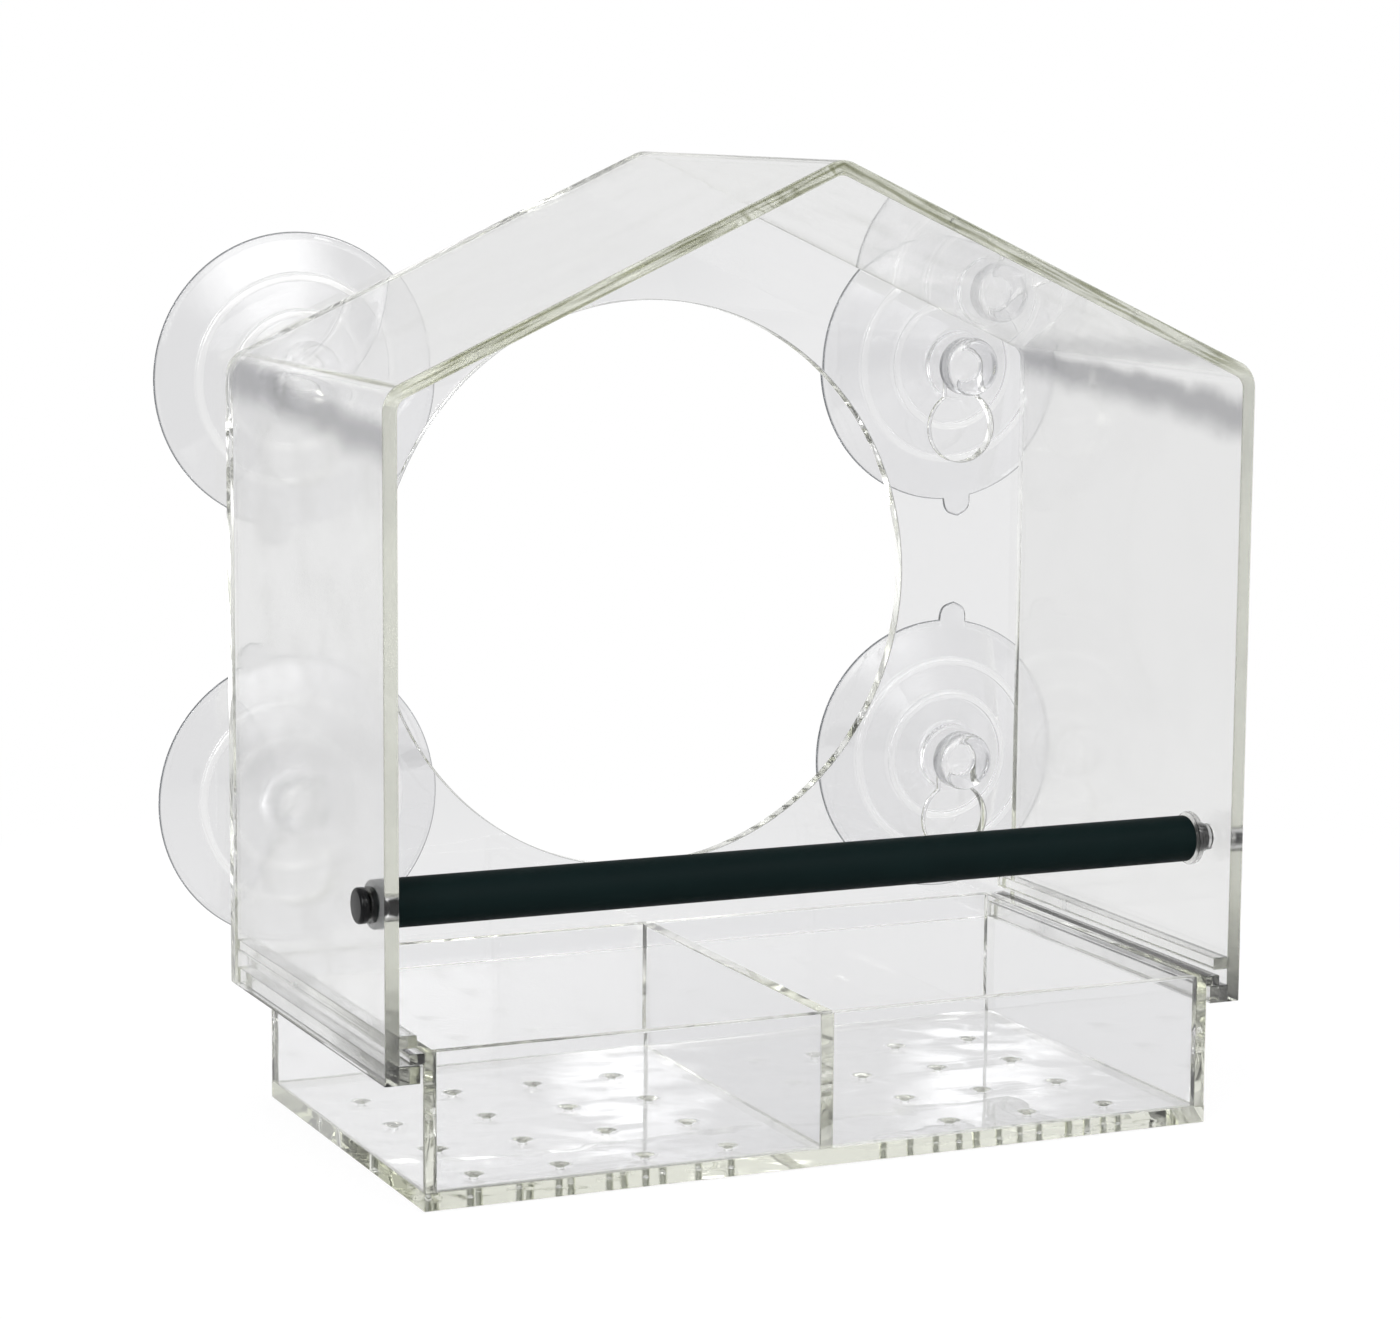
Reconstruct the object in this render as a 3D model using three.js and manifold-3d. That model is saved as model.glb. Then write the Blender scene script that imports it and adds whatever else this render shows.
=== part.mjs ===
// Window bird feeder: a clear acrylic house with a peaked roof, a slide-out seed tray and four suction cups
import * as THREE from 'three';
import { mergeVertices } from 'three/addons/utils/BufferGeometryUtils.js';
import Module from 'manifold-3d';

const wasm = await Module();
wasm.setup();

// Driving dimensions, in millimetres: X runs across, Y towards the window, Z up from the table
const house_width = 254;
const house_depth = 127;
const wall_height = 177.5;
const apex_rise = 58.1;
const sheet = 4;
const bend_radius = 4;

// Round opening in the back panel
const hole_side_margin = 39.5;
const hole_height = 108.5;

// Seed tray
const tray_height = 42;
const tray_wall = 3.5;
const tray_floor_sheet = 5;
const divider_sheet = 4;
const divider_shift = -0.6;
const tray_side_gap = 1;
const tray_back_gap = 0.3;

// Drain holes in the tray floor
const drain_radius = 1.1;
const drain_pitch_across = 24.4;
const drain_pitch_deep = 27;
const drain_left_margin = 14.7;
const drain_right_margin = 22.1;
const drain_divider_margin = 20;
const drain_front_margin = 13.5;
const drain_back_margin = 25;

// Glued rails on the side walls, and the runners of the tray that slide between them
const lower_rail_width = 5.5;
const lower_rail_height = 5;
const upper_rail_width = 4.6;
const upper_rail_height = 3.5;
const runner_width = 3.9;
const runner_height = 3;
const runner_gap = 1.5;

// Perch
const perch_height = 44.6;
const perch_inset = 15;
const rod_radius = 3.5;
const rod_hole_gap = 0.2;
const rod_end_inset = 0.2;
const sleeve_radius = 6.5;
const sleeve_bore_gap = 0.05;
const sleeve_edge = 1;
const sleeve_wall_gap = 0.2;
const spacer_flange_radius = 7.5;
const spacer_flange = 1.5;
const spacer_barrel_radius = 4.2;
const spacer_length = 5;
const spacer_gap = 0.2;
const cap_radius = 4.8;
const cap_length = 2.4;
const cap_edge = 0.9;
const cap_bore_depth = 1.2;
const cap_bore_gap = 0.05;
const cap_wall_gap = 0.2;

// Suction cups and the keyholes that hold them
const cup_radius = 41.5;
const cup_height = 10;
const cup_inset = 23.5;
const lower_cup_height = 50.2;
const lip_width = 2.2;
const lip_thickness = 1.5;
const dish_depth = 3.4;
const ring_radius = 29;
const ring_height = 3.6;
const step_radius = 19;
const step_height = 5.6;
const ridge_width = 1.5;
const ridge_height = 0.8;
const boss_radius = 10;
const boss_foot = 1.4;
const neck_radius = 4.9;
const head_radius = 8.75;
const head_thickness = 7;
const head_edge = 2.2;
const head_dimple_radius = 5;
const head_dimple_depth = 0.6;
const cup_panel_gap = 0.3;
const head_roof_gap = 3.1;
const tab_width = 8.6;
const tab_tip_width = 5.4;
const tab_length = 5.6;
const slot_gap = 0.5;
const keyhole_radius = 10.5;
const keyhole_drop = 18.6;

// Turn of each cup about its own axis, in degrees: 0 points its pull tab up
const upper_left_turn = 185;
const upper_right_turn = 174;
const lower_left_turn = -14;
const lower_right_turn = 5;

// Fineness of the facets
const facet_sag = 0.06;
const cup_facets = 32;
const perch_facets = 28;
const edge_steps = 3;
const cut_overrun = 2;

// Places that follow from the sizes above
const house_base = tray_height - lower_rail_height - runner_height;
const total_depth = house_depth + sheet + cup_height;
const front = -total_depth / 2;
const panel_front = front + house_depth;
const panel_back = panel_front + sheet;
const lip_plane = panel_back + cup_height;
const inner_half = house_width / 2 - sheet;
const hole_radius = inner_half - hole_side_margin;
const eave = house_base + wall_height;
const pitch = Math.atan2(apex_rise, house_width / 2);
const tray_half = inner_half - lower_rail_width - tray_side_gap;
const tray_depth = house_depth - tray_back_gap;
const perch_y = front + perch_inset;
const perch_z = house_base + perch_height;
const cup_x = house_width / 2 - cup_inset;
const slot_radius = neck_radius + slot_gap;

const roof_above_head = eave + cup_inset * Math.tan(pitch) - sheet / Math.cos(pitch);
const upper_cup_z = roof_above_head - (head_radius + head_roof_gap) / Math.cos(pitch);
const lower_cup_z = house_base + lower_cup_height;

// Materials
const clear = { roughness: 0.04, metalness: 0, transparent: true, opacity: 0.35 };
const cast_acrylic = new THREE.MeshStandardMaterial({ color: 0xe3e7d6, ...clear });
const cup_vinyl = new THREE.MeshStandardMaterial({ color: 0xe9ebee, ...clear, roughness: 0.12 });
const clear_nylon = new THREE.MeshStandardMaterial({ color: 0xf1f1ec, ...clear, roughness: 0.15 });
const black_rubber = new THREE.MeshStandardMaterial({ color: 0x0d1718, roughness: 0.75, metalness: 0 });
const black_nylon = new THREE.MeshStandardMaterial({ color: 0x121416, roughness: 0.35, metalness: 0 });

// Points along an arc, ends included, close enough together for the facet sag
function arc_points(centre_x, centre_y, radius, start, end) {
  const step = 2 * Math.acos(1 - facet_sag / Math.max(radius, 2 * facet_sag));
  const count = Math.max(edge_steps, Math.ceil(Math.abs(end - start) / step));
  return Array.from({ length: count + 1 }, (_, i) => {
    const angle = start + ((end - start) * i) / count;
    return new THREE.Vector2(centre_x + radius * Math.cos(angle), centre_y + radius * Math.sin(angle));
  });
}

// Full circle without its repeated last point
function circle_points(centre_x, centre_y, radius) {
  return arc_points(centre_x, centre_y, radius, 0, 2 * Math.PI).slice(0, -1);
}

// Mesh with shared corners merged and the zero-area triangles at its poles taken out
function welded(geometry) {
  const bare = geometry.clone();
  bare.deleteAttribute('normal');
  bare.deleteAttribute('uv');
  const merged = mergeVertices(bare);
  const corners = merged.index.array;
  const kept = [];
  for (let i = 0; i < corners.length; i += 3) {
    const [a, b, c] = [corners[i], corners[i + 1], corners[i + 2]];
    if (a !== b && b !== c && c !== a) kept.push(a, b, c);
  }
  merged.setIndex(kept);
  return merged;
}

function solid_of(geometry) {
  const merged = welded(geometry);
  return new wasm.Manifold(new wasm.Mesh({
    numProp: 3,
    vertProperties: new Float32Array(merged.attributes.position.array),
    triVerts: new Uint32Array(merged.index.array),
  }));
}

function geometry_of(solid) {
  const mesh = solid.getMesh();
  const geometry = new THREE.BufferGeometry();
  geometry.setAttribute('position', new THREE.BufferAttribute(mesh.vertProperties, 3));
  geometry.setIndex(new THREE.BufferAttribute(mesh.triVerts, 1));
  return geometry;
}

// Outline drawn in X and Z, carried along Y from a front plane
function upright_plate(outline, holes, y_front, thickness) {
  const shape = new THREE.Shape(outline);
  shape.holes = holes.map((points) => new THREE.Path(points));
  const geometry = new THREE.ExtrudeGeometry(shape, { depth: thickness, bevelEnabled: false });
  geometry.rotateX(Math.PI / 2);
  geometry.translate(0, y_front + thickness, 0);
  return geometry;
}

// Rectangular strip or sheet between two opposite corners
function sheet_between(low, high) {
  const geometry = new THREE.BoxGeometry(high[0] - low[0], high[1] - low[1], high[2] - low[2]);
  geometry.translate((low[0] + high[0]) / 2, (low[1] + high[1]) / 2, (low[2] + high[2]) / 2);
  return geometry;
}

// Profile of radius and distance, turned about the X axis at the perch
function turned_on_perch(profile) {
  const geometry = new THREE.LatheGeometry(profile, perch_facets);
  geometry.rotateZ(-Math.PI / 2);
  geometry.translate(0, perch_y, perch_z);
  return geometry;
}

// Middle of the bend between two straight stretches: its arcs share this centre
function bend_centre(height_below_outside, half_width) {
  const outer = bend_radius + sheet;
  const z = height_below_outside - outer / Math.cos(pitch);
  return [half_width - outer, z - (half_width - outer) * Math.tan(pitch)];
}

// Bent outline of the house at a distance inside its outer face, from the left foot over the apex to the right
function house_line(inside) {
  const radius = bend_radius + sheet - inside;
  const apex = eave + apex_rise;
  const [eave_x, eave_z] = bend_centre(apex, house_width / 2);
  const apex_z = apex - (bend_radius + sheet) / Math.cos(pitch);
  const left = arc_points(-eave_x, eave_z, radius, Math.PI, Math.PI / 2 + pitch);
  const top = arc_points(0, apex_z, radius, Math.PI / 2 + pitch, Math.PI / 2 - pitch);
  const right = arc_points(eave_x, eave_z, radius, Math.PI / 2 - pitch, 0);
  const foot_x = house_width / 2 - inside;
  const left_foot = new THREE.Vector2(-foot_x, house_base);
  const right_foot = new THREE.Vector2(foot_x, house_base);
  return [left_foot, ...left, ...top, ...right, right_foot];
}

// Walls and roof: one sheet bent at both eaves and at the apex, bored at each side for the perch
function house_shell() {
  const outline = [...house_line(0), ...house_line(sheet).reverse()];
  const bent = solid_of(upright_plate(outline, [], front, house_depth));
  const bore_length = house_width + cut_overrun;
  const bore_radius = rod_radius + rod_hole_gap;
  const bore = new THREE.CylinderGeometry(bore_radius, bore_radius, bore_length, perch_facets);
  bore.rotateZ(-Math.PI / 2);
  bore.translate(0, perch_y, perch_z);
  return geometry_of(bent.subtract(solid_of(bore)));
}

// Keyhole: a narrow slot, round at the top where the cup's neck sits, over a circle that its head passes
function keyhole_points(x, z) {
  const mouth = Math.asin(slot_radius / keyhole_radius);
  const slot = arc_points(x, z, slot_radius, 0, Math.PI);
  const start = Math.PI / 2 + mouth;
  const circle = arc_points(x, z - keyhole_drop, keyhole_radius, start, start + 2 * (Math.PI - mouth));
  return [...slot, ...circle];
}

function back_panel() {
  const holes = [circle_points(0, house_base + hole_height, hole_radius)];
  for (const x of [-cup_x, cup_x]) {
    for (const z of [upper_cup_z, lower_cup_z]) holes.push(keyhole_points(x, z));
  }
  return upright_plate(house_line(0), holes, panel_front, sheet);
}

// Strip along one side wall, on the inside: side is -1 for the left and 1 for the right
function wall_strip(side, outer, width, z_low, height, depth) {
  const edges = [side * outer, side * (outer - width)].sort((a, b) => a - b);
  return sheet_between([edges[0], front, z_low], [edges[1], front + depth, z_low + height]);
}

const runner_base = house_base + lower_rail_height;
const upper_rail_base = runner_base + runner_height + runner_gap;

function lower_rail(side) {
  return wall_strip(side, inner_half, lower_rail_width, house_base, lower_rail_height, house_depth);
}

function upper_rail(side) {
  return wall_strip(side, inner_half, upper_rail_width, upper_rail_base, upper_rail_height, house_depth);
}

function tray_runner(side) {
  return wall_strip(side, tray_half + runner_width, runner_width, runner_base, runner_height, tray_depth);
}

function tray_side_wall(side) {
  const height = tray_height - tray_floor_sheet;
  return wall_strip(side, tray_half, tray_wall, tray_floor_sheet, height, tray_depth);
}

// Cross wall of the tray, between its side walls
function tray_cross_wall(y_front) {
  const inside = tray_half - tray_wall;
  return sheet_between([-inside, y_front, tray_floor_sheet], [inside, y_front + tray_wall, tray_height]);
}

function tray_divider() {
  const low_y = front + tray_wall;
  const high_y = front + tray_depth - tray_wall;
  const left = divider_shift - divider_sheet / 2;
  return sheet_between([left, low_y, tray_floor_sheet], [left + divider_sheet, high_y, tray_height]);
}

// Columns of drain holes in a compartment, counted inwards from its side wall
function drain_columns(side, wall_margin) {
  const wall = tray_half - tray_wall;
  const divider_face = divider_shift + (side * divider_sheet) / 2;
  const room = wall - side * divider_face - wall_margin - drain_divider_margin;
  const count = Math.floor(room / drain_pitch_across) + 1;
  return Array.from({ length: count }, (_, i) => side * (wall - wall_margin - i * drain_pitch_across));
}

// Floor under all the walls, with a grid of drain holes in each compartment
function tray_floor() {
  const low = new THREE.Vector2(-tray_half, front);
  const high = new THREE.Vector2(tray_half, front + tray_depth);
  const outline = [low, new THREE.Vector2(high.x, low.y), high, new THREE.Vector2(low.x, high.y)];
  const shape = new THREE.Shape(outline);
  const row_room = tray_depth - drain_front_margin - drain_back_margin;
  const rows = Math.floor(row_room / drain_pitch_deep) + 1;
  for (const x of [...drain_columns(-1, drain_left_margin), ...drain_columns(1, drain_right_margin)]) {
    for (let row = 0; row < rows; row += 1) {
      const y = front + drain_front_margin + row * drain_pitch_deep;
      shape.holes.push(new THREE.Path(circle_points(x, y, drain_radius)));
    }
  }
  return new THREE.ExtrudeGeometry(shape, { depth: tray_floor_sheet, bevelEnabled: false });
}

// Outline between two ends of a round bar, with its outer corners rounded, closed along its bore
function tube_profile(bore, radius, low, high, edge) {
  return [
    new THREE.Vector2(bore, low),
    ...arc_points(radius - edge, low + edge, edge, -Math.PI / 2, 0),
    ...arc_points(radius - edge, high - edge, edge, 0, Math.PI / 2),
    new THREE.Vector2(bore, high),
    new THREE.Vector2(bore, low),
  ];
}

const cap_base = -house_width / 2 - cap_wall_gap;
const rod_start = cap_base - cap_bore_depth;
const rod_end = house_width / 2 - rod_end_inset;
const spacer_end = inner_half - spacer_gap;
const spacer_start = spacer_end - spacer_length;
const sleeve_start = -inner_half + sleeve_wall_gap;
const sleeve_end = spacer_start - spacer_gap;

// Its right end lies flush in the wall
function perch_rod() {
  const profile = [
    new THREE.Vector2(0, rod_start),
    new THREE.Vector2(rod_radius, rod_start),
    new THREE.Vector2(rod_radius, rod_end),
    new THREE.Vector2(0, rod_end),
  ];
  return turned_on_perch(profile);
}

function perch_sleeve() {
  const bore = rod_radius + sleeve_bore_gap;
  return turned_on_perch(tube_profile(bore, sleeve_radius, sleeve_start, sleeve_end, sleeve_edge));
}

// Flanged spacer that keeps the sleeve off the right wall
function perch_spacer() {
  const bore = rod_radius + sleeve_bore_gap;
  const flange_end = spacer_start + spacer_flange;
  return turned_on_perch([
    new THREE.Vector2(bore, spacer_start),
    new THREE.Vector2(spacer_flange_radius, spacer_start),
    new THREE.Vector2(spacer_flange_radius, flange_end),
    new THREE.Vector2(spacer_barrel_radius, flange_end),
    new THREE.Vector2(spacer_barrel_radius, spacer_end),
    new THREE.Vector2(bore, spacer_end),
    new THREE.Vector2(bore, spacer_start),
  ]);
}

// Round push-on cap outside the left wall, with a blind bore over the end of the rod
function perch_cap() {
  const bore = rod_radius + cap_bore_gap;
  const end = cap_base - cap_length;
  return turned_on_perch([
    new THREE.Vector2(0, end),
    ...arc_points(cap_radius - cap_edge, end + cap_edge, cap_edge, -Math.PI / 2, 0),
    new THREE.Vector2(cap_radius, cap_base),
    new THREE.Vector2(bore, cap_base),
    new THREE.Vector2(bore, rod_start),
    new THREE.Vector2(0, rod_start),
  ]);
}

// Half-round ridge on the back of a cup, as height above the slope it stands on
function ridge_points(radius, height) {
  const half = ridge_width / 2;
  return [
    [radius + half, height],
    [radius + half / 2, height + ridge_height],
    [radius - half / 2, height + ridge_height],
    [radius - half, height],
  ];
}

// Cup profile as radius and height above the window: dish, two ringed steps, boss, neck and mushroom head
function cup_profile() {
  const shoulder = cup_height - cup_panel_gap;
  const head_base = cup_height + sheet + cup_panel_gap;
  const head_top = head_base + head_thickness;
  const dish_edge = cup_radius - lip_width;
  const dish = [
    [0, dish_depth],
    [dish_edge / 2, dish_depth * 0.75],
    [dish_edge, 0],
    [cup_radius, 0],
    [cup_radius, lip_thickness],
  ];
  const back = [...ridge_points(ring_radius, ring_height), ...ridge_points(step_radius, step_height)];
  const boss = [
    [boss_radius + boss_foot, step_height + boss_foot],
    [boss_radius, step_height + 2 * boss_foot],
    [boss_radius, shoulder],
    [neck_radius, shoulder],
    [neck_radius, head_base],
  ];
  const head_low = arc_points(head_radius - head_edge / 2, head_base + head_edge / 2, head_edge / 2, -Math.PI / 2, 0);
  const head_high = arc_points(head_radius - head_edge, head_top - head_edge, head_edge, 0, Math.PI / 2);
  const dimple = [
    [head_dimple_radius, head_top],
    [0, head_top - head_dimple_depth],
  ];
  const plain = (pairs) => pairs.map(([radius, height]) => new THREE.Vector2(radius, height));
  const upright = [...plain([...dish, ...back, ...boss]), ...head_low, ...head_high, ...plain(dimple)];
  return upright.map((point) => new THREE.Vector2(point.x, -point.y)).reverse();
}

// Pull tab: a tapered tongue with a round end, lying in the plane of the lip
function pull_tab() {
  const root = cup_radius - lip_width;
  const tip = cup_radius + tab_length;
  const corner = tab_tip_width / 2;
  const outline = [
    new THREE.Vector2(-tab_width / 2, root),
    new THREE.Vector2(tab_width / 2, root),
    ...arc_points(0, tip - corner, corner, 0, Math.PI),
  ];
  return upright_plate(outline, [], -lip_thickness, lip_thickness);
}

function suction_cup(x, z, turn) {
  const disc = solid_of(new THREE.LatheGeometry(cup_profile(), cup_facets));
  const geometry = geometry_of(disc.add(solid_of(pull_tab())));
  geometry.rotateY(THREE.MathUtils.degToRad(-turn));
  geometry.translate(x, lip_plane, z);
  return geometry;
}

const feeder = new THREE.Group();

function add(name, geometry, material) {
  const mesh = new THREE.Mesh(geometry, material);
  mesh.name = name;
  feeder.add(mesh);
}

// House: bent shell, glued back panel and two glued rails on each wall
add('house_shell', house_shell(), cast_acrylic);
add('back_panel', back_panel(), cast_acrylic);
for (const [name, side] of [['left', -1], ['right', 1]]) {
  add(`${name}_lower_rail`, lower_rail(side), cast_acrylic);
  add(`${name}_upper_rail`, upper_rail(side), cast_acrylic);
}

// Tray: glued sheets that hang from the rails by two runners
add('tray_floor', tray_floor(), cast_acrylic);
add('tray_front_wall', tray_cross_wall(front), cast_acrylic);
add('tray_back_wall', tray_cross_wall(front + tray_depth - tray_wall), cast_acrylic);
add('tray_divider', tray_divider(), cast_acrylic);
for (const [name, side] of [['left', -1], ['right', 1]]) {
  add(`tray_${name}_wall`, tray_side_wall(side), cast_acrylic);
  add(`tray_${name}_runner`, tray_runner(side), cast_acrylic);
}

// Perch: a rod through both walls, a soft sleeve that keeps it there, a spacer and a cap on its left end
add('perch_rod', perch_rod(), black_nylon);
add('perch_sleeve', perch_sleeve(), black_rubber);
add('perch_spacer', perch_spacer(), clear_nylon);
add('perch_left_cap', perch_cap(), black_nylon);

// Suction cups, each with its neck at the top of its keyhole
add('suction_cup_top_left', suction_cup(-cup_x, upper_cup_z, upper_left_turn), cup_vinyl);
add('suction_cup_top_right', suction_cup(cup_x, upper_cup_z, upper_right_turn), cup_vinyl);
add('suction_cup_bottom_left', suction_cup(-cup_x, lower_cup_z, lower_left_turn), cup_vinyl);
add('suction_cup_bottom_right', suction_cup(cup_x, lower_cup_z, lower_right_turn), cup_vinyl);

export default feeder;
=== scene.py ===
import math

import bmesh
import bpy
import numpy as np
from bpy.props import FloatProperty, FloatVectorProperty, IntProperty, PointerProperty
from mathutils import Matrix, Vector
from mathutils.geometry import tessellate_polygon


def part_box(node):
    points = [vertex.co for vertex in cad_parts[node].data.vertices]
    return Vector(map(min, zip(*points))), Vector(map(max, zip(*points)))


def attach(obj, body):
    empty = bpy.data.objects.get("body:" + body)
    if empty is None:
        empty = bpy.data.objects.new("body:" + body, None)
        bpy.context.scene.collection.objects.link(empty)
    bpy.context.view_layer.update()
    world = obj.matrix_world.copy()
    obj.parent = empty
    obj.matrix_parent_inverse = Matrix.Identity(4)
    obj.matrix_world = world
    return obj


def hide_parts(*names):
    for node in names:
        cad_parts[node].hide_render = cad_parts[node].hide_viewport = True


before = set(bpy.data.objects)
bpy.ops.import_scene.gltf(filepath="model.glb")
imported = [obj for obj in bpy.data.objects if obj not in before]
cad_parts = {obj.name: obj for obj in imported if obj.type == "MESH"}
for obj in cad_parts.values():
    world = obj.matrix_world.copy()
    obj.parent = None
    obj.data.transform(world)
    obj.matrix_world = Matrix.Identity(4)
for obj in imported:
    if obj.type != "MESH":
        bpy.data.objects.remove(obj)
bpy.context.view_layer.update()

bl_info = {
    "name": "Window bird feeder",
    "version": (1, 0, 0),
    "blender": (4, 5, 0),
    "location": "View3D > Sidebar > Feeder",
    "description": "Builds a clear acrylic window bird feeder round its packed frame",
    "category": "Add Mesh",
}

MM = 0.001
CLEAR = (1, 1, 1)
TRAY_NODES = [
    "tray_front_wall", "tray_back_wall", "tray_divider", "tray_left_wall",
    "tray_right_wall", "tray_left_runner", "tray_right_runner",
]
RAIL_NODES = ["left_lower_rail", "left_upper_rail", "right_lower_rail", "right_upper_rail"]
CUP_NODES = {
    "top_left": "suction_cup_top_left",
    "top_right": "suction_cup_top_right",
    "bottom_left": "suction_cup_bottom_left",
    "bottom_right": "suction_cup_bottom_right",
}


def linear(hex_colour):
    """sRGB hex to the linear values that Blender's colours hold"""
    values = [int(hex_colour[i:i + 2], 16) / 255 for i in (1, 3, 5)]
    return tuple(v / 12.92 if v <= 0.04045 else ((v + 0.055) / 1.055) ** 2.4 for v in values)


# Settings


def length_setting(name, description, millimetres):
    """Length of the object, with its default given in millimetres"""
    return FloatProperty(
        name=name, description=description, default=millimetres * MM, unit="LENGTH", precision=5)


def colour_setting(name, description, hex_colour):
    return FloatVectorProperty(
        name=name, description=description, default=linear(hex_colour), subtype="COLOR", size=3)


def number_setting(name, description, value):
    return FloatProperty(name=name, description=description, default=value)


def angle_setting(name, description, degrees):
    return FloatProperty(
        name=name, description=description, default=math.radians(degrees), subtype="ANGLE")


class HouseSettings(bpy.types.PropertyGroup):
    wall_height: length_setting("Wall height", "Lower edge of a side wall to the sharp eave", 177.5)
    apex_rise: length_setting("Apex rise", "Sharp eave to the sharp apex", 58.1)
    edge_radius: length_setting("Edge radius", "Flame-polished round on the cut edges of each sheet", 0.35)
    bend_radius: length_setting("Bend radius", "Inside radius of the heat bends at the eaves and the apex", 4)
    hole_side_margin: length_setting("Hole margin", "Panel left between the round hole and a side wall", 39.5)
    hole_height: length_setting("Hole height", "Centre of the round hole above the foot of the panel", 108.5)
    keyhole_radius: length_setting("Keyhole radius", "Circle that a cup's mushroom head passes through", 10.5)
    keyhole_drop: length_setting("Keyhole drop", "Distance from the neck of a cup down to that circle", 18.6)
    slot_radius: length_setting("Slot radius", "Half the width of a keyhole's slot", 5.4)
    bore_radius: length_setting("Bore radius", "Hole in each side wall that the perch rod turns in", 3.7)
    acrylic_tint: colour_setting("Acrylic tint", "Light that the sheet lets through", "#fafafb")
    bent_tint: colour_setting("Bent sheet tint", "The same for the shell", "#fcfcfc")
    # Painted shade: dark line laid on the corner of each cut hole
    painted_rim_shade: colour_setting("Rim tint", "Line that the corner of a cut hole draws", "#6c6e68")
    edge_tint: colour_setting("Edge tint", "Colour that light takes through the length of a sheet", "#d2d7a4")
    edge_density: number_setting("Edge density", "How fast light takes the edge tint, per metre", 2.6)
    wave_size: length_setting("Wave size", "Length of the waves in the polish of a sheet", 45)
    wave_height: length_setting("Wave height", "Height of those waves", 0.2)
    bent_wave_height: length_setting("Bent wave height", "The same for the shell", 0.3)
    sheet_haze: number_setting("Sheet haze", "Roughness of a sheet at its haziest", 0.04)
    bent_haze: number_setting("Bent sheet haze", "The same for the shell", 0.08)
    strip_haze: number_setting("Strip haze", "The same for the sawn rails", 0.3)
    wall_haze: number_setting("Wall haze", "Roughness that the walls have beyond the roof's", 0.07)
    # Painted shade: grey band laid along the sheet under each bend
    painted_shade_band_tint: colour_setting("Shoulder tint", "Grey band that the heat leaves under a bend", "#bebec0")
    shoulder_slant: number_setting("Shoulder slant", "Rise of that band per metre of depth", 0.07)
    shoulder_width: length_setting("Shoulder width", "Width of that band", 9)
    sawn_tint: colour_setting("Sawn tint", "Darkest streaks on the roof's sawn front edge", "#84866c")
    streak_width: length_setting("Streak width", "Width of those streaks", 1.1)
    streak_length: length_setting("Streak length", "Length of those streaks", 22)


class TraySettings(bpy.types.PropertyGroup):
    drain_radius: length_setting("Drain radius", "Radius of a drain hole in the tray floor", 1.1)
    pitch_across: length_setting("Pitch across", "Distance between columns of drain holes", 24.4)
    pitch_deep: length_setting("Pitch deep", "Distance between rows of drain holes", 27)
    left_margin: length_setting("Left margin", "Left wall to the first column of drain holes", 14.7)
    right_margin: length_setting("Right margin", "Right wall to the first column of drain holes", 22.1)
    front_margin: length_setting("Front margin", "Front of the tray to the first row of drain holes", 13.5)
    left_columns: IntProperty(name="Left columns", description="Columns of holes on the left", default=4)
    right_columns: IntProperty(name="Right columns", description="Columns of holes on the right", default=3)
    rows: IntProperty(name="Rows", description="Rows of drain holes", default=4)
    drain_edge: length_setting("Drain edge", "Round on the edges of the floor and its holes", 0.25)
    dish_width: length_setting("Dish width", "Shallow dish that deburring leaves round a drain hole", 2.6)
    dish_depth: length_setting("Dish depth", "Depth of that dish at the hole", 0.35)
    wave_size: length_setting("Wave size", "Length of the waves in the polish of the floor", 22)
    wave_height: length_setting("Wave height", "Height of those waves", 0.35)
    floor_haze: number_setting("Floor haze", "Roughness of the floor at its haziest", 0.02)
    # Grey laid on the wall of each drain hole, which makes the holes darker
    bore_tint: colour_setting("Bore tint", "Dull wall of a drilled hole", "#a4a6a0")


class PerchSettings(bpy.types.PropertyGroup):
    rod_radius: length_setting("Rod radius", "Radius of the rod through both walls", 3.5)
    rod_edge: length_setting("Rod edge", "Round on the ends of the rod", 0.4)
    rod_gap: length_setting("Rod gap", "Gap between the rod and the bore of what it carries", 0.05)
    sleeve_edge: length_setting("Sleeve edge", "Round on the ends of the sleeve", 1)
    flange: length_setting("Flange", "Thickness of the spacer's flange", 1.5)
    barrel_radius: length_setting("Barrel radius", "Radius of the spacer behind its flange", 4.2)
    spacer_edge: length_setting("Spacer edge", "Round on the edges of the spacer", 0.25)
    cap_edge: length_setting("Cap edge", "Round on the outer end of the cap", 0.9)
    cap_seat: length_setting("Cap seat", "Chamfer on the cap beside the wall", 0.2)
    sleeve_colour: colour_setting("Sleeve colour", "Green-black rubber of the perch sleeve", "#081414")
    nylon_colour: colour_setting("Nylon colour", "Black nylon of the rod and its cap", "#0c0d0e")
    spacer_tint: colour_setting("Spacer tint", "Light that the spacer lets through", "#fbfbf9")


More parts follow.
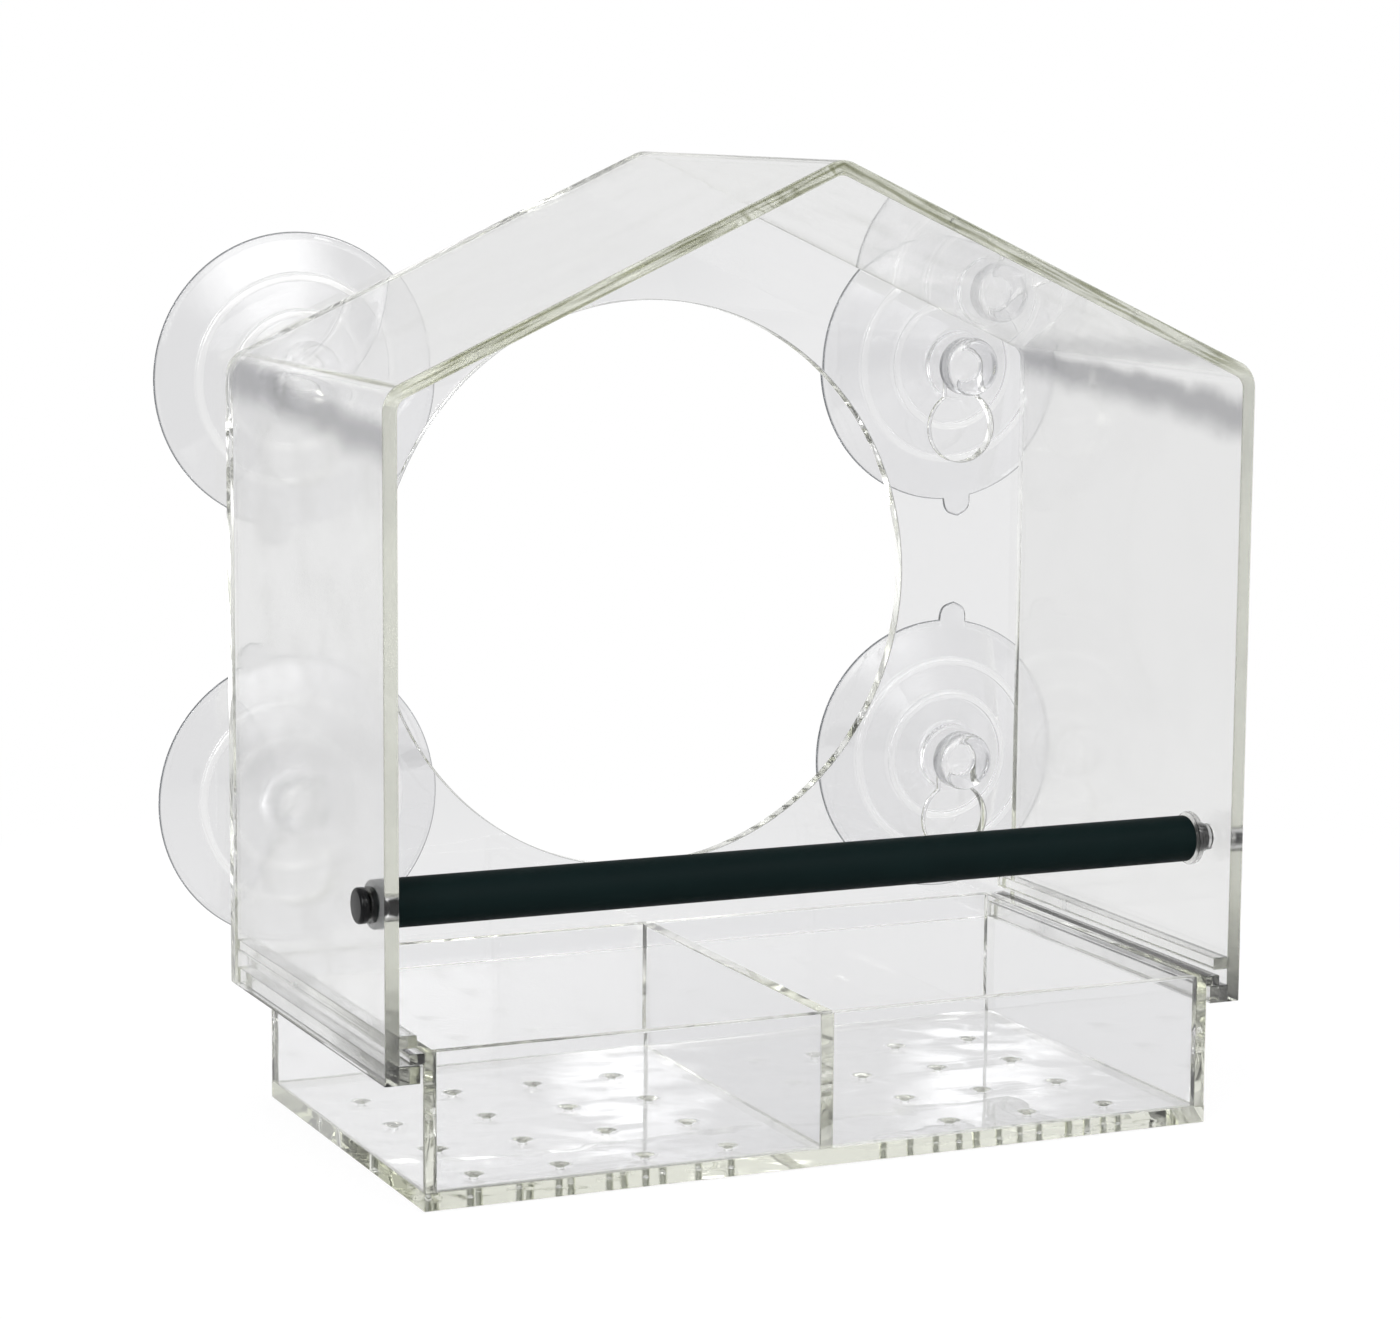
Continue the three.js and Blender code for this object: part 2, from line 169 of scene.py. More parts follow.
class CupSettings(bpy.types.PropertyGroup):
    cup_radius: length_setting("Cup radius", "Radius of the sealing lip", 41.5)
    lip_width: length_setting("Lip width", "Width of the flat that seals on the window", 2.2)
    lip_thickness: length_setting("Lip thickness", "Thickness of the rim", 1.5)
    hollow_depth: length_setting("Hollow depth", "Depth of the hollow at its middle", 3.4)
    ring_radius: length_setting("Ring radius", "Radius of the outer ridge on the back of a cup", 29)
    ring_height: length_setting("Ring height", "Height of the back under that ridge", 3.6)
    step_radius: length_setting("Step radius", "Radius of the inner ridge on the back of a cup", 19)
    step_height: length_setting("Step height", "Height of the back under that ridge", 5.6)
    ridge_width: length_setting("Ridge width", "Width of both ridges", 2.3)
    ridge_height: length_setting("Ridge height", "Height of both ridges over the back of a cup", 0.8)
    boss_radius: length_setting("Boss radius", "Radius of the boss in the middle of the back", 10)
    boss_foot: length_setting("Boss foot", "Height of the back's slope where it meets the boss", 6.8)
    boss_fillet: length_setting("Boss fillet", "Hollow round at the foot of the boss", 1.6)
    neck_radius: length_setting("Neck radius", "Radius of the neck in the keyhole's slot", 4.9)
    neck_fillet: length_setting("Neck fillet", "Round on the boss's edge; the neck's corners have half", 0.8)
    seat_gap: length_setting("Seat gap", "Gap between the panel and the boss or the head", 0.3)
    head_radius: length_setting("Head radius", "Radius of the mushroom head", 8.75)
    head_thickness: length_setting("Head thickness", "Thickness of the mushroom head", 7)
    head_foot: length_setting("Head foot", "Round on the head's edge beside the panel", 1.1)
    head_edge: length_setting("Head edge", "Round on the head's outer edge", 2.2)
    dimple_radius: length_setting("Dimple radius", "Radius of the dimple in the head", 5)
    dimple_depth: length_setting("Dimple depth", "Depth of the dimple in the head", 0.6)
    tab_length: length_setting("Tab length", "How far the pull tab stands out from the lip", 5.6)
    tab_width: length_setting("Tab width", "Width of the pull tab at the lip", 8.6)
    vinyl_tint: colour_setting("Vinyl tint", "Light that the wall of a cup lets through", "#f4f4f5")
    # Painted shade: dark line laid on a cup's round edges
    painted_rim_shade: colour_setting("Rim tint", "Line that a cup's round edge draws against the light", "#4c5054")


class StageSettings(bpy.types.PropertyGroup):
    camera_place: FloatVectorProperty(
        name="Camera place", description="Where the camera stands",
        default=(-0.4541, -0.9949, 0.2873), subtype="TRANSLATION", size=3, precision=4)
    azimuth: angle_setting("Azimuth", "Turn of the view about Z", -24.138)
    elevation: angle_setting("Elevation", "Height of the view over the horizon", 8.281)
    roll: angle_setting("Roll", "Turn of the camera about its own line of sight", 0.412)
    lens: number_setting("Focal length", "Millimetres, on a sensor 36 mm wide", 101.12)
    paper_radius: length_setting("Paper radius", "Radius of the white paper that the feeder stands on", 750)
    floor_colour: colour_setting("Floor colour", "White paper that the feeder stands on", "#ffffff")
    backdrop_colour: colour_setting("Backdrop colour", "Paper behind, as the acrylic shows it", "#ececec")
    side_colour: colour_setting("Side colour", "Duller studio beside the feeder", "#cacacc")
    table_light: number_setting("Table light", "Strength of the bright table", 1.3)
    ring_light: number_setting("Ring light", "Strength of the light round the camera", 4)
    lamp_light: number_setting("Lamp light", "Strength of the two small lamps", 2.2)


class FeederSettings(bpy.types.PropertyGroup):
    house: PointerProperty(type=HouseSettings)
    tray: PointerProperty(type=TraySettings)
    perch: PointerProperty(type=PerchSettings)
    cups: PointerProperty(type=CupSettings)
    stage: PointerProperty(type=StageSettings)


def settings():
    return bpy.context.scene.feeder_settings


# Shapes


def arc(centre, radius, start, end, steps):
    """Points on a circle from one angle to another, both ends included"""
    angle = np.linspace(start, end, steps + 1)
    return np.stack([centre[0] + radius * np.cos(angle), centre[1] + radius * np.sin(angle)], axis=1)


def rectangle(low, high):
    return np.array([[low[0], low[1]], [high[0], low[1]], [high[0], high[1]], [low[0], high[1]]])


def doubled_area(loop):
    """Twice the signed area of a closed loop: the sum of the cross products of its neighbouring points"""
    after = np.roll(loop, -1, axis=0)
    return float(np.sum(loop[:, 0] * after[:, 1] - loop[:, 1] * after[:, 0]))


def turned(loop, anticlockwise):
    return loop if (doubled_area(loop) > 0) == anticlockwise else loop[::-1]


def inset(loop, distance):
    """Each point moves towards the material by the mitre of its two edges' left-hand normals"""
    ahead = np.roll(loop, -1, axis=0) - loop
    ahead = ahead / np.linalg.norm(ahead, axis=1, keepdims=True)
    left = np.stack([-ahead[:, 1], ahead[:, 0]], axis=1)
    before = np.roll(left, 1, axis=0)
    mitre = (left + before) / (1 + np.sum(left * before, axis=1, keepdims=True))
    return loop + distance * mitre


def plate(outline, holes, low, high, edge, flare=0, dip=0):
    """Flat sheet: each loop is carried from face to face with rounded edges, and both faces are filled.

    A ring of a rounded edge lies edge * (1 - sin t) inside the loop and edge * (1 - cos t) in from the face.
    A flared hole meets the upper face in a shallow dish, dip * (1 - u)^2 deep at the share u of its width.
    The marks of each point are cut and bore, 1 on the cut edge of the outline or of a hole and 0 on the
    faces, and rim, 1 halfway round the edge of a hole, where a painted dark line of shade goes.
    """
    turn = np.linspace(0, math.pi / 2, 3)
    below = [(edge * (1 - math.sin(t)), low + edge * (1 - math.cos(t)), t) for t in turn]
    above = [(distance, low + high - height, t) for distance, height, t in below[::-1]]
    dish = [(edge + flare * u, high - dip * (1 - u) ** 2, 0) for u in (0.25, 0.5, 0.75, 1)] if flare else []
    dished = below + [(distance, height - dip, t) for distance, height, t in above] + dish
    loops = [(turned(outline, True), below + above)] + [(turned(hole, False), dished) for hole in holes]
    vertices, marks, faces, lower, upper = [], [], [], [], []
    base = 0
    for loop, rings in loops:
        count = len(loop)
        here = np.arange(count)
        after = (here + 1) % count
        for distance, height, t in rings:
            vertices.append(np.column_stack([inset(loop, distance), np.full(count, height)]))
            # rim marks the painted dark line of shade halfway round the edge of a hole
            mark = (math.sin(t), 0, 0) if base == 0 else (0, math.sin(t), math.sin(2 * t))
            marks.append(np.tile(mark, (count, 1)))
        for k in range(len(rings) - 1):
            a, b = base + k * count, base + (k + 1) * count
            faces.append(np.stack([a + here, a + after, b + after, b + here], axis=1))
        lower.append(base + here)
        base += count * len(rings)
        upper.append(base - count + here)
    points = np.concatenate(vertices)
    faces = np.concatenate(faces).tolist()
    for ends, facing_up in ((lower, False), (upper, True)):
        flat = [[Vector((x, y, 0)) for x, y in points[end, :2]] for end in ends]
        corners = np.concatenate(ends)[np.array(tessellate_polygon(flat))]
        sides = points[corners]
        up = np.cross(sides[:, 1] - sides[:, 0], sides[:, 2] - sides[:, 0])[:, 2] > 0
        faces += np.where((up == facing_up)[:, None], corners, corners[:, ::-1]).tolist()
    return points, faces, dict(zip(("cut", "bore", "rim"), np.concatenate(marks).T))


def lathe(profile, turns):
    """Profile of radius and distance carried round an axis: radius * cos a, radius * sin a, distance"""
    angle = np.linspace(0, 2 * math.pi, turns, endpoint=False)
    radius, along = profile.T
    return np.stack([
        np.outer(radius, np.cos(angle)),
        np.outer(radius, np.sin(angle)),
        np.repeat(along[:, None], turns, axis=1),
    ], axis=2)


def grid_faces(rows, columns, closed_rows):
    """Quads of a grid whose columns close on themselves, and whose rows do too if asked"""
    here = np.arange(rows if closed_rows else rows - 1)[:, None]
    column = np.arange(columns)[None, :]
    below = ((here + 1) % rows) * columns
    beside = (column + 1) % columns
    quads = np.stack([
        here * columns + column, here * columns + beside,
        below + beside, below + column], axis=2)
    return quads.reshape(-1, 4)


def outward(vertices, faces):
    """Turns the faces round if the volume that they close comes out negative"""
    volume = 0.0
    for count in (3, 4):
        same = np.array([face for face in faces if len(face) == count])
        if len(same):
            first = vertices[same[:, 0]]
            for k in range(1, count - 1):
                cross = np.cross(vertices[same[:, k]], vertices[same[:, k + 1]])
                volume += float(np.sum(first * cross))
    return faces if volume > 0 else [face[::-1] for face in faces]


def new_piece(name, vertices, faces, marks, material, body, node, weighted=False):
    """Mesh object from arrays, with its marks as attributes, that rides on its body in place of its node.

    Points less than the weld apart become one, which closes the poles, and faces left empty are dropped.
    """
    weld, empty = 1e-7, 1e-8
    mesh = bpy.data.meshes.new(name)
    mesh.from_pydata(vertices.tolist(), [], outward(vertices, faces))
    for mark, values in marks.items():
        mesh.attributes.new(mark, "FLOAT", "POINT").data.foreach_set("value", np.asarray(values, np.float32))
    built = bmesh.new()
    built.from_mesh(mesh)
    bmesh.ops.remove_doubles(built, verts=built.verts, dist=weld)
    bmesh.ops.dissolve_degenerate(built, edges=built.edges, dist=empty)
    built.to_mesh(mesh)
    built.free()
    mesh.polygons.foreach_set("use_smooth", np.ones(len(mesh.polygons), bool))
    mesh.materials.append(material)
    piece = bpy.data.objects.new(name, mesh)
    bpy.context.scene.collection.objects.link(piece)
    if weighted:
        weigh_normals(piece)
    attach(piece, body)
    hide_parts(node)
    return piece


def weigh_normals(piece):
    """Large flat faces keep their own direction, and the rounded edges take up the turn between them"""
    modifier = piece.modifiers.new("flat_faces", "WEIGHTED_NORMAL")
    modifier.mode = "FACE_AREA"
    modifier.weight = 100


# Materials


def add_node(tree, kind, inputs=None, **values):
    """Adds one node: values set its own settings, and each input takes a fixed value or another's output"""
    made = tree.nodes.new(kind)
    for name, value in values.items():
        setattr(made, name, value)
    for socket, value in (inputs or {}).items():
        if isinstance(value, bpy.types.NodeSocket):
            tree.links.new(value, made.inputs[socket])
        else:
            made.inputs[socket].default_value = value
    return made


def new_material(name):
    material = bpy.data.materials.new(name)
    material.use_nodes = True
    tree = material.node_tree
    tree.nodes.clear()
    return material, tree


def eased(tree, *steps):
    """Product of smooth steps, each from one result to another as its source goes from low to high"""
    value = None
    for source, low, high, low_result, high_result in steps:
        limits = {"From Min": low, "From Max": high, "To Min": low_result, "To Max": high_result}
        step = add_node(
            tree, "ShaderNodeMapRange", {"Value": source, **limits}, interpolation_type="SMOOTHSTEP")
        result = step.outputs["Result"]
        if value:
            both = add_node(tree, "ShaderNodeMath", {0: value, 1: result}, operation="MULTIPLY")
            result = both.outputs["Value"]
        value = result
    return value


def layered(tree, base, *layers):
    """Base colour with the colour of each layer laid over it by its amount"""
    tone = (*base, 1)
    for amount, colour in layers:
        laid = add_node(tree, "ShaderNodeMix", {0: amount, 6: tone, 7: (*colour, 1)}, data_type="RGBA")
        tone = laid.outputs[2]
    return tone


def mark_of(tree, name):
    return add_node(tree, "ShaderNodeAttribute", attribute_name=name).outputs["Fac"]


def cast_acrylic(name, tint, haze, wave_size, wave_height, bore_tint=CLEAR, bend_height=None):
    """Cast acrylic sheet, polished: clear across its 4 mm, pale olive along its length, with waves and haze.

    Its faces take the tint, its cut edges stay clear, and its bores take their own tint. The corner round a
    cut hole takes a painted dark line of shade. Below a heat bend a grey band of painted shade runs along the
    sheet, and the wall under it is hazier than the roof. Only a bent sheet also shows the streaks of the saw
    on its front edge.
    """
    s = settings().house
    cloud_size = 18 * MM
    material, tree = new_material(name)
    place = add_node(tree, "ShaderNodeTexCoord").outputs["Object"]
    waves = add_node(tree, "ShaderNodeTexNoise", {"Vector": place, "Scale": 1 / wave_size, "Detail": 1.0})
    cloud = add_node(tree, "ShaderNodeTexNoise", {"Vector": place, "Scale": 1 / cloud_size, "Detail": 4.0})
    rough = eased(tree, (cloud.outputs["Fac"], 0.35, 0.75, 0, haze))
    bump = add_node(tree, "ShaderNodeBump", {
        "Height": waves.outputs["Fac"], "Strength": 0.5, "Distance": wave_height})
    layers, sawn = [], None
    if bend_height is not None:
        split = add_node(tree, "ShaderNodeSeparateXYZ", {"Vector": place}).outputs
        slant = add_node(tree, "ShaderNodeMath", {
            0: split["Y"], 1: s.shoulder_slant, 2: bend_height}, operation="MULTIPLY_ADD")
        below = add_node(tree, "ShaderNodeMath", {
            0: slant.outputs["Value"], 1: split["Z"]}, operation="SUBTRACT").outputs["Value"]
        clouded = add_node(tree, "ShaderNodeMath", {
            0: cloud.outputs["Fac"], 1: s.shoulder_width, 2: below}, operation="MULTIPLY_ADD")
        stray = clouded.outputs["Value"]
        start, full, fading, end = (share * s.shoulder_width for share in (0.6, 1.2, 1.4, 2.4))
        # painted shade: grey band laid along the sheet below the bend
        layers.append((eased(tree, (stray, start, full, 0, 1), (stray, fading, end, 1, 0)), s.painted_shade_band_tint))
        sawn = saw_streaks(tree, split, below)
        under = eased(tree, (below, 0, s.shoulder_width, 0, s.wall_haze))
        rough = add_node(tree, "ShaderNodeMath", {0: under, 1: rough}, operation="ADD").outputs["Value"]
    cut = mark_of(tree, "cut")
    layers.append((cut, CLEAR))
    if sawn:
        dark = add_node(tree, "ShaderNodeMath", {0: cut, 1: sawn}, operation="MULTIPLY")
        layers.append((dark.outputs["Value"], s.sawn_tint))
    # painted shade: the rim mark lays a dark line on the corner of each cut hole
    layers += [(mark_of(tree, "bore"), bore_tint), (mark_of(tree, "rim"), s.painted_rim_shade)]
    shader = add_node(tree, "ShaderNodeBsdfPrincipled", {
        "Base Color": layered(tree, tint, *layers), "Roughness": rough, "Normal": bump.outputs["Normal"],
        "Transmission Weight": 1.0, "IOR": 1.49})
    absorb = add_node(tree, "ShaderNodeVolumeAbsorption", {
        "Color": (*s.edge_tint, 1), "Density": s.edge_density})
    add_node(tree, "ShaderNodeOutputMaterial", {
        "Surface": shader.outputs["BSDF"], "Volume": absorb.outputs["Volume"]})
    return material


def saw_streaks(tree, split, below):
    """Noise drawn out along both roof slopes, across which z + slope * |x| grows; none below the eave"""
    s = settings().house
    slope = s.apex_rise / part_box("house_shell")[1].x
    spread = add_node(tree, "ShaderNodeMath", {0: split["X"]}, operation="ABSOLUTE")
    across = add_node(tree, "ShaderNodeMath", {
        0: spread.outputs["Value"], 1: slope, 2: split["Z"]}, operation="MULTIPLY_ADD")
    drawn = add_node(tree, "ShaderNodeMath", {
        0: split["X"], 1: s.streak_width / s.streak_length}, operation="MULTIPLY")
    place = add_node(tree, "ShaderNodeCombineXYZ", {
        "X": drawn.outputs["Value"], "Z": across.outputs["Value"]})
    noise = add_node(tree, "ShaderNodeTexNoise", {
        "Vector": place.outputs["Vector"], "Scale": 1 / s.streak_width, "Detail": 2.0})
    return eased(tree, (noise.outputs["Fac"], 0.42, 0.62, 0, 1), (below, -s.shoulder_width, 0, 1, 0))


def moulded_vinyl(name, tint, painted_rim_shade):
    """Injection-moulded flexible vinyl: clear and glossy, with the soft ripple of a warm mould.

    Its ridges are left clear of the tint, so they stand out as painted highlight lines, and its round
    edges take painted dark lines of shade.
    """
    ripple_size, ripple_height = 9 * MM, 0.15 * MM
    material, tree = new_material(name)
    place = add_node(tree, "ShaderNodeTexCoord").outputs["Object"]
    ripple = add_node(tree, "ShaderNodeTexNoise", {"Vector": place, "Scale": 1 / ripple_size, "Detail": 2.0})
    rough = eased(tree, (ripple.outputs["Fac"], 0.3, 0.7, 0, 0.04))
    bump = add_node(tree, "ShaderNodeBump", {
        "Height": ripple.outputs["Fac"], "Strength": 0.3, "Distance": ripple_height})
    # painted highlight on the ridges and painted shade on the round edges
    tone = layered(tree, tint, (mark_of(tree, "ridge"), CLEAR), (mark_of(tree, "rim"), painted_rim_shade))
    shader = add_node(tree, "ShaderNodeBsdfPrincipled", {
        "Base Color": tone, "Roughness": rough, "Normal": bump.outputs["Normal"],
        "Transmission Weight": 1.0, "IOR": 1.53})
    add_node(tree, "ShaderNodeOutputMaterial", {"Surface": shader.outputs["BSDF"]})
    return material


def sleeve_rubber(name, colour):
    """Extruded rubber: green-black and satin, with a fine pebble grain and a dusty bloom in patches"""
    grain_size, grain_height, bloom_size = 0.7 * MM, 0.08 * MM, 14 * MM
    material, tree = new_material(name)
    place = add_node(tree, "ShaderNodeTexCoord").outputs["Object"]
    grain = add_node(tree, "ShaderNodeTexNoise", {"Vector": place, "Scale": 1 / grain_size, "Detail": 3.0})
    bloom = add_node(tree, "ShaderNodeTexNoise", {"Vector": place, "Scale": 1 / bloom_size, "Detail": 5.0})
    rough = add_node(tree, "ShaderNodeMapRange", {
        "Value": bloom.outputs["Fac"], "To Min": 0.42, "To Max": 0.62})
    tone = add_node(tree, "ShaderNodeValToRGB", {"Fac": bloom.outputs["Fac"]})
    for stop, share in zip(tone.color_ramp.elements, (0.8, 1.3)):
        stop.color = (*[share * c for c in colour], 1)
    bump = add_node(tree, "ShaderNodeBump", {
        "Height": grain.outputs["Fac"], "Strength": 0.35, "Distance": grain_height})
    shader = add_node(tree, "ShaderNodeBsdfPrincipled", {
        "Base Color": tone.outputs["Color"], "Roughness": rough.outputs["Result"],
        "Normal": bump.outputs["Normal"], "IOR": 1.52, "Specular IOR Level": 0.035})
    add_node(tree, "ShaderNodeOutputMaterial", {"Surface": shader.outputs["BSDF"]})
    return material


def moulded_nylon(name, colour, transmission, gloss):
    """Moulded nylon: smooth with a slight orange peel; black for the rod and cap, clear for the spacer"""
    peel_size, peel_height = 1.2 * MM, 0.05 * MM
    material, tree = new_material(name)
    place = add_node(tree, "ShaderNodeTexCoord").outputs["Object"]
    peel = add_node(tree, "ShaderNodeTexNoise", {"Vector": place, "Scale": 1 / peel_size})
    rough = eased(tree, (peel.outputs["Fac"], 0.3, 0.7, 0.1, 0.25))
    bump = add_node(tree, "ShaderNodeBump", {
        "Height": peel.outputs["Fac"], "Strength": 0.2, "Distance": peel_height})
    shader = add_node(tree, "ShaderNodeBsdfPrincipled", {
        "Roughness": rough, "Normal": bump.outputs["Normal"], "Base Color": (*colour, 1),
        "Transmission Weight": transmission, "IOR": 1.53, "Specular IOR Level": gloss})
    add_node(tree, "ShaderNodeOutputMaterial", {"Surface": shader.outputs["BSDF"]})
    return material


# House


def house_line(half_width, foot, eave, rise, sheet, bend_radius, inside):
    """Walls and slopes joined by round bends, from foot to foot, at a distance inside the outer face"""
    steps = 14
    pitch = math.atan2(rise, half_width)
    outer = bend_radius + sheet
    radius = outer - inside
    apex = eave + rise
    eave_x = half_width - outer
    eave_z = apex - outer / math.cos(pitch) - eave_x * math.tan(pitch)
    apex_z = apex - outer / math.cos(pitch)
    edge = half_width - inside
    return np.concatenate([
        [[-edge, foot]],
        arc((-eave_x, eave_z), radius, math.pi, math.pi / 2 + pitch, steps),
        arc((0, apex_z), radius, math.pi / 2 + pitch, math.pi / 2 - pitch, steps),
        arc((eave_x, eave_z), radius, math.pi / 2 - pitch, 0, steps),
        [[edge, foot]],
    ])


def bored(piece, centre, radius, reach):
    """Cuts a round hole along X right through a piece, and leaves the cut applied"""
    turns = 64
    angle = np.linspace(0, 2 * math.pi, turns, endpoint=False)
    circle = np.stack([centre[1] + radius * np.cos(angle), centre[2] + radius * np.sin(angle)], axis=1)
    ends = [np.column_stack([np.full(turns, x), circle]) for x in (-reach, reach)]
    vertices = np.concatenate(ends)
    faces = grid_faces(2, turns, False).tolist() + [list(range(turns))[::-1], list(range(turns, 2 * turns))]
    mesh = bpy.data.meshes.new("bore")
    mesh.from_pydata(vertices.tolist(), [], faces)
    cutter = bpy.data.objects.new("bore", mesh)
    bpy.context.scene.collection.objects.link(cutter)
    cut = piece.modifiers.new("bore", "BOOLEAN")
    cut.operation = "DIFFERENCE"
    cut.solver = "EXACT"
    cut.object = cutter
    graph = bpy.context.evaluated_depsgraph_get()
    made = bpy.data.meshes.new_from_object(piece.evaluated_get(graph))
    piece.modifiers.clear()
    piece.data = made
    bpy.data.objects.remove(cutter)


def upright(points):
    """Local across, up and depth become X, Z and Y"""
    return points[:, [0, 2, 1]]


def cup_centre(node, radius):
    """Axis of a cup: its tab only lengthens the box on the side towards the middle of the house"""
    low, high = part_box(node)
    x = (low.x + high.x) / 2
    z = high.z - radius if "top" in node else low.z + radius
    return x, z


class BuildHouse(bpy.types.Operator):
    """Bent shell, back panel with its round hole and keyholes, and the four rails"""
    bl_idname = "feeder.house"
    bl_label = "House"

    def execute(self, context):
        s = settings().house
        shell_low, shell_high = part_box("house_shell")
        panel_low, panel_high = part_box("back_panel")
        half_width, foot, eave = shell_high.x, shell_low.z, shell_low.z + s.wall_height
        sheet = panel_high.y - panel_low.y
        outer, inner = (
            house_line(half_width, foot, eave, s.apex_rise, sheet, s.bend_radius, inside)
            for inside in (0, sheet))

        bent = cast_acrylic(
            "heat_bent_acrylic", s.bent_tint, s.bent_haze, s.wave_size, s.bent_wave_height, bend_height=eave)
        around = np.concatenate([outer, inner[::-1]])
        points, faces, marks = plate(around, [], shell_low.y, shell_high.y + s.edge_radius, s.edge_radius)
        # The shell's sheet is bent across the depth, so its faces are the sides of this plate
        marks["cut"] = 1 - marks["cut"]
        shell = new_piece(
            "bent_shell", upright(points), faces, marks, bent, "house", "house_shell")
        rod_low, rod_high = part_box("perch_rod")
        bored(shell, (rod_low + rod_high) / 2, s.bore_radius, half_width * 2)
        weigh_normals(shell)

        acrylic = cast_acrylic("cast_acrylic_sheet", s.acrylic_tint, s.sheet_haze, s.wave_size, s.wave_height)
        hole_radius = half_width - sheet - s.hole_side_margin
        holes = [arc((0, foot + s.hole_height), hole_radius, 0, 2 * math.pi, 720)[:-1]]
        for node in CUP_NODES.values():
            holes.append(self.keyhole(*cup_centre(node, settings().cups.cup_radius)))
        points, faces, marks = plate(outer, holes, panel_low.y, panel_high.y, s.edge_radius)
        new_piece(
            "keyhole_panel", upright(points), faces, marks, acrylic, "house", "back_panel",
            weighted=True)

        walls = [
            ((-half_width, shell_low.y, foot), (sheet - half_width, shell_high.y, eave)),
            ((half_width - sheet, shell_low.y, foot), (half_width, shell_high.y, eave)),
            (panel_low, panel_high),
        ]
        sawn = cast_acrylic("sawn_acrylic_strip", s.acrylic_tint, s.strip_haze, s.wave_size, s.wave_height)
        for node in RAIL_NODES:
            sheet_strip(node, walls, sawn, "house")
        return {"FINISHED"}

    def keyhole(self, x, z):
        """Half circle at the top of the slot, then most of a circle below it"""
        s = settings().house
        mouth = math.asin(s.slot_radius / s.keyhole_radius)
        start = math.pi / 2 + mouth
        top = arc((x, z), s.slot_radius, 0, math.pi, 60)
        circle = arc((x, z - s.keyhole_drop), s.keyhole_radius, start, start + 2 * (math.pi - mouth), 180)
        return np.concatenate([top, circle])


def sunk_box(node, neighbours):
    """A node's box, with each side that a neighbour covers moved into it by the edge radius.

    Solvent cement melts glued sheets into each other like this.
    """
    s = settings().house
    low, high = (np.array(corner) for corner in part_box(node))
    sunk_low, sunk_high = low.copy(), high.copy()
    touching = 0.05 * MM
    for next_low, next_high in neighbours:
        starts = np.array(next_low) <= low + s.edge_radius
        ends = np.array(next_high) >= high - s.edge_radius
        for axis in range(3):
            across = [other for other in range(3) if other != axis]
            if all(starts[across]) and all(ends[across]):
                if abs(next_low[axis] - high[axis]) < touching:
                    sunk_high[axis] = high[axis] + s.edge_radius
                if abs(next_high[axis] - low[axis]) < touching:
                    sunk_low[axis] = low[axis] - s.edge_radius
    return sunk_low, sunk_high


def sheet_strip(node, neighbours, material, body):
    """Straight strip of sheet in place of its node, sunk a little into the sheets that it is glued to"""
    low, high = sunk_box(node, neighbours)
    along = int(np.argmin(high - low))
    across = [axis for axis in range(3) if axis != along]
    outline = rectangle(low[across], high[across])
    points, faces, marks = plate(outline, [], low[along], high[along], settings().house.edge_radius)
    placed = np.empty_like(points)
    placed[:, across] = points[:, :2]
    placed[:, along] = points[:, 2]
    name = node.replace("tray_", "seed_tray_") + "_sheet"
    return new_piece(name, placed, faces, marks, material, body, node, weighted=True)


# Tray


class BuildTray(bpy.types.Operator):
    """Glued sheets of the seed tray, with drain holes in its floor"""
    bl_idname = "feeder.tray"
    bl_label = "Tray"

    def execute(self, context):
        s, t = settings().house, settings().tray
        acrylic = cast_acrylic("cast_acrylic_tray", s.acrylic_tint, s.sheet_haze, s.wave_size, s.wave_height)
        boxes = {node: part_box(node) for node in [*TRAY_NODES, "tray_floor"]}
        for node in TRAY_NODES:
            others = [box for other, box in boxes.items() if other != node]
            sheet_strip(node, others, acrylic, "tray")

        drilled = cast_acrylic(
            "drilled_acrylic_floor", s.acrylic_tint, t.floor_haze, t.wave_size, t.wave_height, t.bore_tint)
        low, high = boxes["tray_floor"]
        left_wall, right_wall = boxes["tray_left_wall"][1].x, boxes["tray_right_wall"][0].x
        columns = [left_wall + t.left_margin + k * t.pitch_across for k in range(t.left_columns)]
        columns += [right_wall - t.right_margin - k * t.pitch_across for k in range(t.right_columns)]
        holes = [
            arc((x, low.y + t.front_margin + row * t.pitch_deep), t.drain_radius, 0, 2 * math.pi, 28)[:-1]
            for x in columns for row in range(t.rows)
        ]
        outline = rectangle((low.x, low.y), (high.x, high.y))
        points, faces, marks = plate(outline, holes, low.z, high.z, t.drain_edge, t.dish_width, t.dish_depth)
        new_piece(
            "drained_floor", points, faces, marks, drilled, "tray", "tray_floor",
            weighted=True)
        return {"FINISHED"}


# Perch


def round_bar(bore, radius, low, high, edge, steps=8):
    """Profile of a tube or bar: bore, end face, rounded corners, and back; a bore of 0 closes on the axis"""
    return np.concatenate([
        [[bore, low]],
        arc((radius - edge, low + edge), edge, -math.pi / 2, 0, steps),
        arc((radius - edge, high - edge), edge, 0, math.pi / 2, steps),
        [[bore, high]],
    ])


def perch_piece(name, profile, closed, material, node):
    """Profile turned about the rod's axis, which runs along X"""
    turns = 96
    low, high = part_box("perch_rod")
    centre = (low + high) / 2
    grid = lathe(profile, turns)
    placed = np.stack([grid[..., 2], centre.y + grid[..., 0], centre.z + grid[..., 1]], axis=2)
    faces = grid_faces(len(profile), turns, closed).tolist()
    return new_piece(name, placed.reshape(-1, 3), faces, {}, material, "perch", node)


